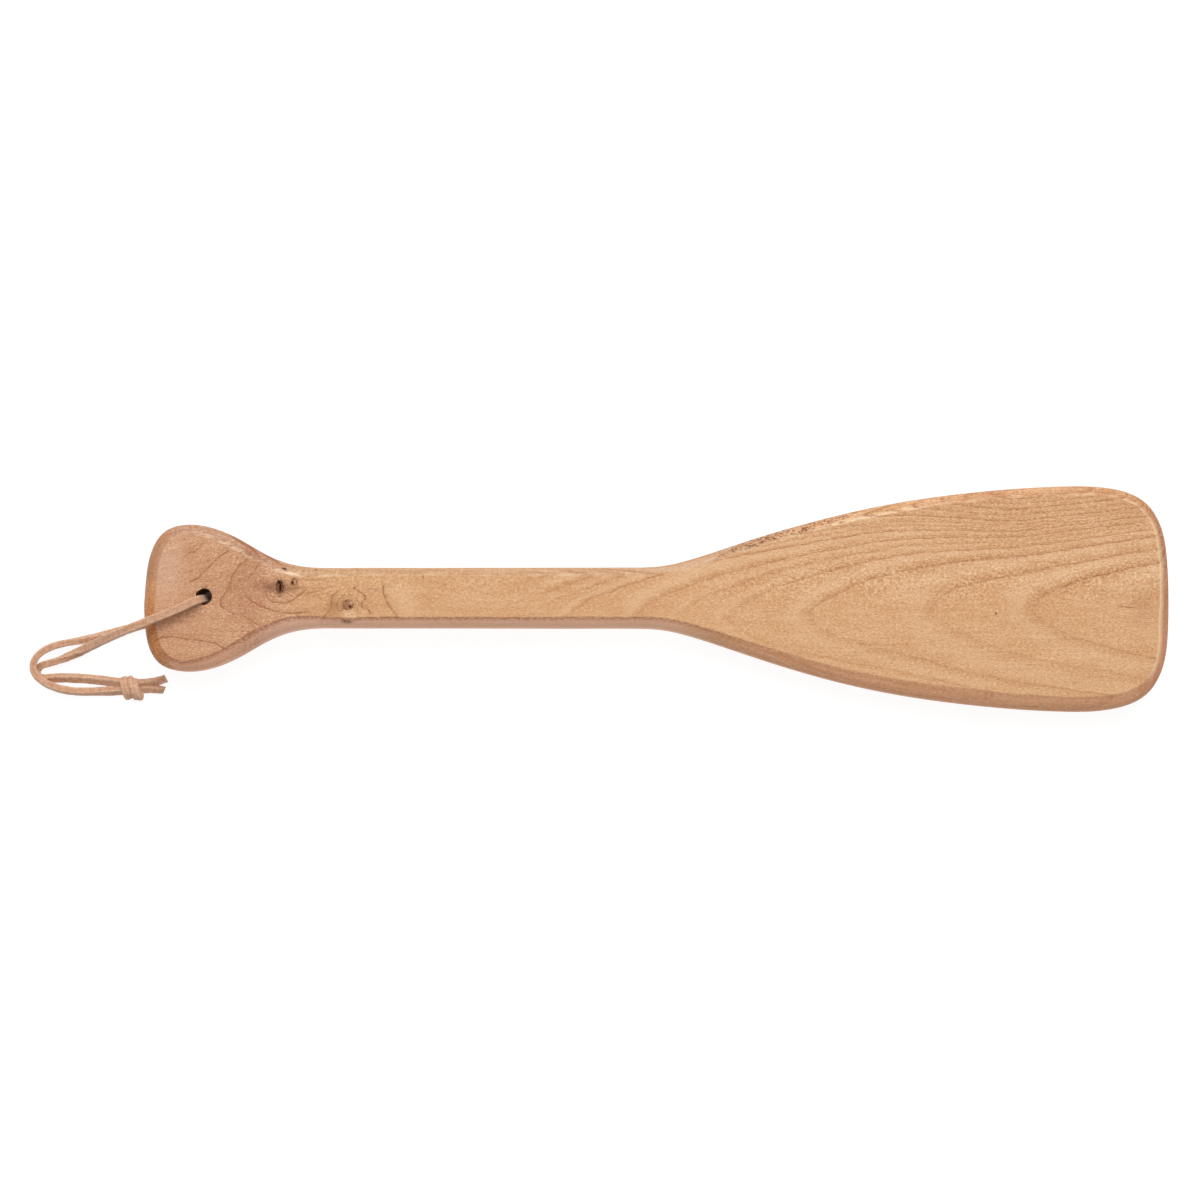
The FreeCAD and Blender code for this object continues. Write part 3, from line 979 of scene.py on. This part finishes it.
def edge_profile(slopes):
    """Rings from the upper face to the wall: (share of the roundover's width inwards, heights)."""
    low = np.sin(slopes)
    same = np.ones_like(slopes)
    rings = [
        (1.12 * same, HALF_THICKNESS * same),
        (1.04 * same, (HALF_THICKNESS - EDGE_DIP / 5) * same),
        (same, (HALF_THICKNESS - EDGE_DIP) * same),
    ]
    for i in range(1, ROUNDOVER_STEPS + 1):
        angle = slopes + (math.pi / 2 - slopes) * i / ROUNDOVER_STEPS
        inwards = 1 - (np.sin(angle) - low) / (1 - low)
        drop = ROUNDOVER_DROP * (np.cos(slopes) - np.cos(angle)) / np.cos(slopes)
        rings.append((inwards, HALF_THICKNESS - EDGE_DIP - drop))
    rings.append((0.0 * same, WALL_RING * same))
    return rings


def back_profile():
    """Rings from the wall to the flat of the back: (mm inwards, height)."""
    rings = []
    for i in range(BACK_STEPS + 1):
        angle = math.pi / 2 * i / BACK_STEPS
        inset = BACK_ROUNDOVER * (1 - math.cos(angle))
        rings.append((inset, -HALF_THICKNESS + BACK_ROUNDOVER * (1 - math.sin(angle))))
    return rings


def relief(x, y):
    """Height of the upper face over its plane: sanding waves, the knots' pits and a ridge."""
    wave = roughen((x, y, 0.0), 38.0, 0.05) + roughen((x, y, 3.0), 11.0, 0.018)
    for px, py, rx, ry, depth in KNOT_PITS:
        away = math.hypot((x - px) / rx, (y - py) / ry)
        wave -= depth * float(1 - smoothstep(0.35, 1.2, away))
    ridge = math.hypot((x - MAIN_KNOT[0]) / KNOT_RIDGE[0], (y - MAIN_KNOT[1]) / KNOT_RIDGE[1])
    return wave + RIDGE_HEIGHT * math.exp(-((ridge - 1.0) * 3.0) ** 2)


def in_loop(x, y, loop):
    """Whether the point lies inside the closed loop."""
    xs, ys = loop[:, 0], loop[:, 1]
    crossings = (ys > y) != (np.roll(ys, -1) > y)
    at = xs + (y - ys) / (np.roll(ys, -1) - ys + 1e-12) * (np.roll(xs, -1) - xs)
    return bool(np.count_nonzero(crossings & (at > x)) % 2)


def face_points(loop, coarse, knots):
    """Points inside the loop and clear of the hole: a loose grid, with close ones at the knots."""
    xs, ys = loop[:, 0], loop[:, 1]
    points = []

    def inside(x, y, room):
        gaps = np.hypot(xs - x, ys - y)
        if gaps.min() < room or math.hypot(x - HOLE_X, y) < HOLE_RADIUS + room:
            return False
        return in_loop(x, y, loop)

    def grid(x0, x1, y0, y1, step, skip):
        row = 0
        y = y0
        while y <= y1:
            x = x0 + (step / 2 if row % 2 else 0.0)
            while x <= x1:
                skipped = any(a < x < b and c < y < d for a, b, c, d in skip)
                if not skipped and inside(x, y, step * 0.55):
                    points.append((x, y))
                x += step
            y += step * ROW_GAP
            row += 1

    half_x, half_y = KNOT_PATCH
    patches = [(x - half_x, x + half_x, y - half_y, y + half_y) for x, y in knots]
    for patch in patches:
        grid(*patch, KNOT_GRID, [])
    grid(xs.min(), xs.max(), ys.min(), ys.max(), coarse, patches)
    return points


def flat_face(loop, hole, coarse, knots):
    """Triangles that fill the loop round the hole."""
    outline = [Vector(p) for p in loop]
    rim = [Vector(p) for p in hole]
    inner = [Vector(p) for p in face_points(loop, coarse, knots)]
    n, m = len(outline), len(rim)
    edges = [(i, (i + 1) % n) for i in range(n)] + [(n + i, n + (i + 1) % m) for i in range(m)]
    points, _, triangles, *_ = geometry.delaunay_2d_cdt(outline + rim + inner, edges, [], 1, 1e-5)
    kept = []
    for corners in triangles:
        middle = sum((points[i] for i in corners), Vector((0.0, 0.0))) / 3
        if not in_loop(middle.x, middle.y, hole):
            kept.append(corners)
    return points, kept


def hole_rings():
    """The drilled wall with its ragged upper mouth, as rings for add_rings."""
    rings = []
    for height, widen in HOLE_SECTION:
        ring = []
        for i in range(HOLE_STEPS):
            angle = 2 * math.pi * i / HOLE_STEPS
            torn = roughen((math.cos(angle) * 3, math.sin(angle) * 3, height), 1.1, 0.12, 4.0)
            torn *= 1.6 if height > 8.8 else 0.5
            radius = HOLE_RADIUS + widen + torn
            ring.append((HOLE_X + radius * math.cos(angle), radius * math.sin(angle)))
        rings.append((np.array(ring), np.full(HOLE_STEPS, height), 0.0, 0.0))
    return rings


def value_at(table, x):
    """The value at x in a table of (x, value)."""
    places, values = zip(*table)
    return float(np.interp(x, places, values))


def crease_light_and_dark(outward, x):
    """1 where the crease has a painted highlight, down to -1 where it has a darker line."""
    far = float(smoothstep(0.1, 0.7, outward[1])) * value_at(FAR_HIGHLIGHT, x)
    end = 0.8 * float(smoothstep(0.6, 0.95, outward[0])) * float(x > 200)
    near = float(smoothstep(0.3, 0.8, -outward[1])) * value_at(NEAR_DARK_LINE, x)
    return max(far, end) - near


def make_splinters(material):
    """Thin slivers, made pale with the crease's painted highlight, thickest at the middle, curved along
    the rim of the hole.
    """
    for number, (start, end, radius, width) in enumerate(SPLINTERS):

        def on_rim(share, offset, height):
            angle = math.radians(start + (end - start) * share)
            reach = radius + offset + roughen((share * 7, number, 0.0), 1.0, 0.12, 12.0)
            return Vector((HOLE_X + reach * math.cos(angle), reach * math.sin(angle), height))

        vertices = [on_rim(0.0, 0.0, HALF_THICKNESS - 0.1)]
        for i in range(1, SPLINTER_STEPS):
            share = i / SPLINTER_STEPS
            half = width / 2 * math.sin(math.pi * share) ** 0.7
            for across, rise in ((-1.0, -0.15), (-0.2, 0.12), (1.0, 0.03), (0.0, -0.3)):
                vertices.append(on_rim(share, half * across, HALF_THICKNESS + rise))
        vertices.append(on_rim(1.0, 0.0, HALF_THICKNESS - 0.05))
        faces = []
        for i in range(SPLINTER_STEPS - 2):
            for j in range(4):
                k = (j + 1) % 4
                first, second = 1 + 4 * i, 5 + 4 * i
                faces.append((first + j, first + k, second + k, second + j))
        last = len(vertices) - 1
        faces += [(0, 1 + (j + 1) % 4, 1 + j) for j in range(4)]
        faces += [(last, last - 4 + j, last - 4 + (j + 1) % 4) for j in range(4)]
        vertices = [vertex * MM for vertex in vertices]
        sliver = mesh_object(f"hole_splinter_{number + 1}", vertices, faces, material)
        # the slivers carry the crease's painted highlight
        mark_points(sliver, "crease", [SPLINTER_HIGHLIGHT] * len(vertices))
        turn_faces_outward(sliver)
        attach(sliver, "paddle")


def edge_rings(loop, inward):
    """Rings from the upper face, over the roundover and down the wall, to the flat of the back."""
    widths = roundover_widths(loop)
    near = smoothstep(-0.2, 0.6, inward[:, 1])
    slopes = np.radians(FAR_SLOPE + (NEAR_SLOPE - FAR_SLOPE) * near)
    rings = []
    for i, (shares, heights) in enumerate(edge_profile(slopes)):
        crease = CREASE_BY_RING[i] if i < len(CREASE_BY_RING) else 0.0
        band = BAND_BY_RING[i] if i < len(BAND_BY_RING) else 1.0
        rings.append((loop + inward * (widths * shares)[:, None], heights, crease, band))
    for inset, height in back_profile():
        band = float(height > -HALF_THICKNESS)
        rings.append((loop + inward * inset, np.full(len(loop), height), 0.0, band))
    return rings


def add_point(mesh, x, y, height):
    """A vertex of the board; those on its upper face follow the relief."""
    lift = relief(x, y) if height > HALF_THICKNESS - 0.1 else 0.0
    return mesh.verts.new(Vector((x, y, height + lift)) * MM)


def add_rings(mesh, rings, crease_tones):
    """Adds rings of (points, heights, crease, band), joined by quads."""
    crease_layer = mesh.verts.layers.float["crease"]
    band_layer = mesh.verts.layers.float["band"]
    rows = []
    for points, heights, crease, band in rings:
        row = []
        for i, ((x, y), height) in enumerate(zip(points, heights)):
            vertex = add_point(mesh, x, y, height)
            vertex[crease_layer] = crease * crease_tones[i]
            vertex[band_layer] = band
            row.append(vertex)
        rows.append(row)
    for first, second in zip(rows, rows[1:]):
        for i in range(len(first)):
            k = (i + 1) % len(first)
            mesh.faces.new((first[i], first[k], second[k], second[i]))


def add_face(mesh, loop, hole, height, coarse, knots):
    """Fills the loop round the hole at the given height."""
    points, triangles = flat_face(loop, hole, coarse, knots)
    made = [add_point(mesh, point.x, point.y, height) for point in points]
    for corners in triangles:
        mesh.faces.new([made[i] for i in corners])


def make_board():
    """The wooden paddle, as one closed surface."""
    loop = hand_cut(smooth_loop(wall_outline()))
    tangent = np.roll(loop, -1, axis=0) - np.roll(loop, 1, axis=0)
    tangent /= np.linalg.norm(tangent, axis=1)[:, None]
    inward = np.stack([-tangent[:, 1], tangent[:, 0]], axis=1)
    crease_tones = [crease_light_and_dark(-side, point[0]) for side, point in zip(inward, loop)]
    edge = edge_rings(loop, inward)
    hole = hole_rings()
    knots = (MAIN_KNOT, SECOND_KNOT, PIN_KNOT)
    mesh = bmesh.new()
    mesh.verts.layers.float.new("crease")
    mesh.verts.layers.float.new("band")
    add_rings(mesh, edge, crease_tones)
    add_rings(mesh, hole, crease_tones)
    add_face(mesh, edge[0][0], hole[0][0], HALF_THICKNESS, FACE_GRID, knots)
    add_face(mesh, edge[-1][0], hole[-1][0], -HALF_THICKNESS, BACK_GRID, ())
    bmesh.ops.remove_doubles(mesh, verts=mesh.verts, dist=2e-6)
    bmesh.ops.recalc_face_normals(mesh, faces=mesh.faces)
    data = bpy.data.meshes.new("paddle_board")
    mesh.to_mesh(data)
    mesh.free()
    data.shade_smooth()
    material = wood_material()
    data.materials.append(material)
    board = link(bpy.data.objects.new("paddle_board", data))
    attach(board, "paddle")
    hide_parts("paddle_body")
    make_splinters(material)


# ---- the scene

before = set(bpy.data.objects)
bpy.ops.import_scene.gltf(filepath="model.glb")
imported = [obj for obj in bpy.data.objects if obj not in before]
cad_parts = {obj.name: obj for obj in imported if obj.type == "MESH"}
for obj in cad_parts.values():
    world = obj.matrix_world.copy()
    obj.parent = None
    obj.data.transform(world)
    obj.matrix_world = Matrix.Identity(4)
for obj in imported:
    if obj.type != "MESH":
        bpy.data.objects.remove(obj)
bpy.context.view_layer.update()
make_camera()
make_thong()
make_board()
make_stage()
make_lights()
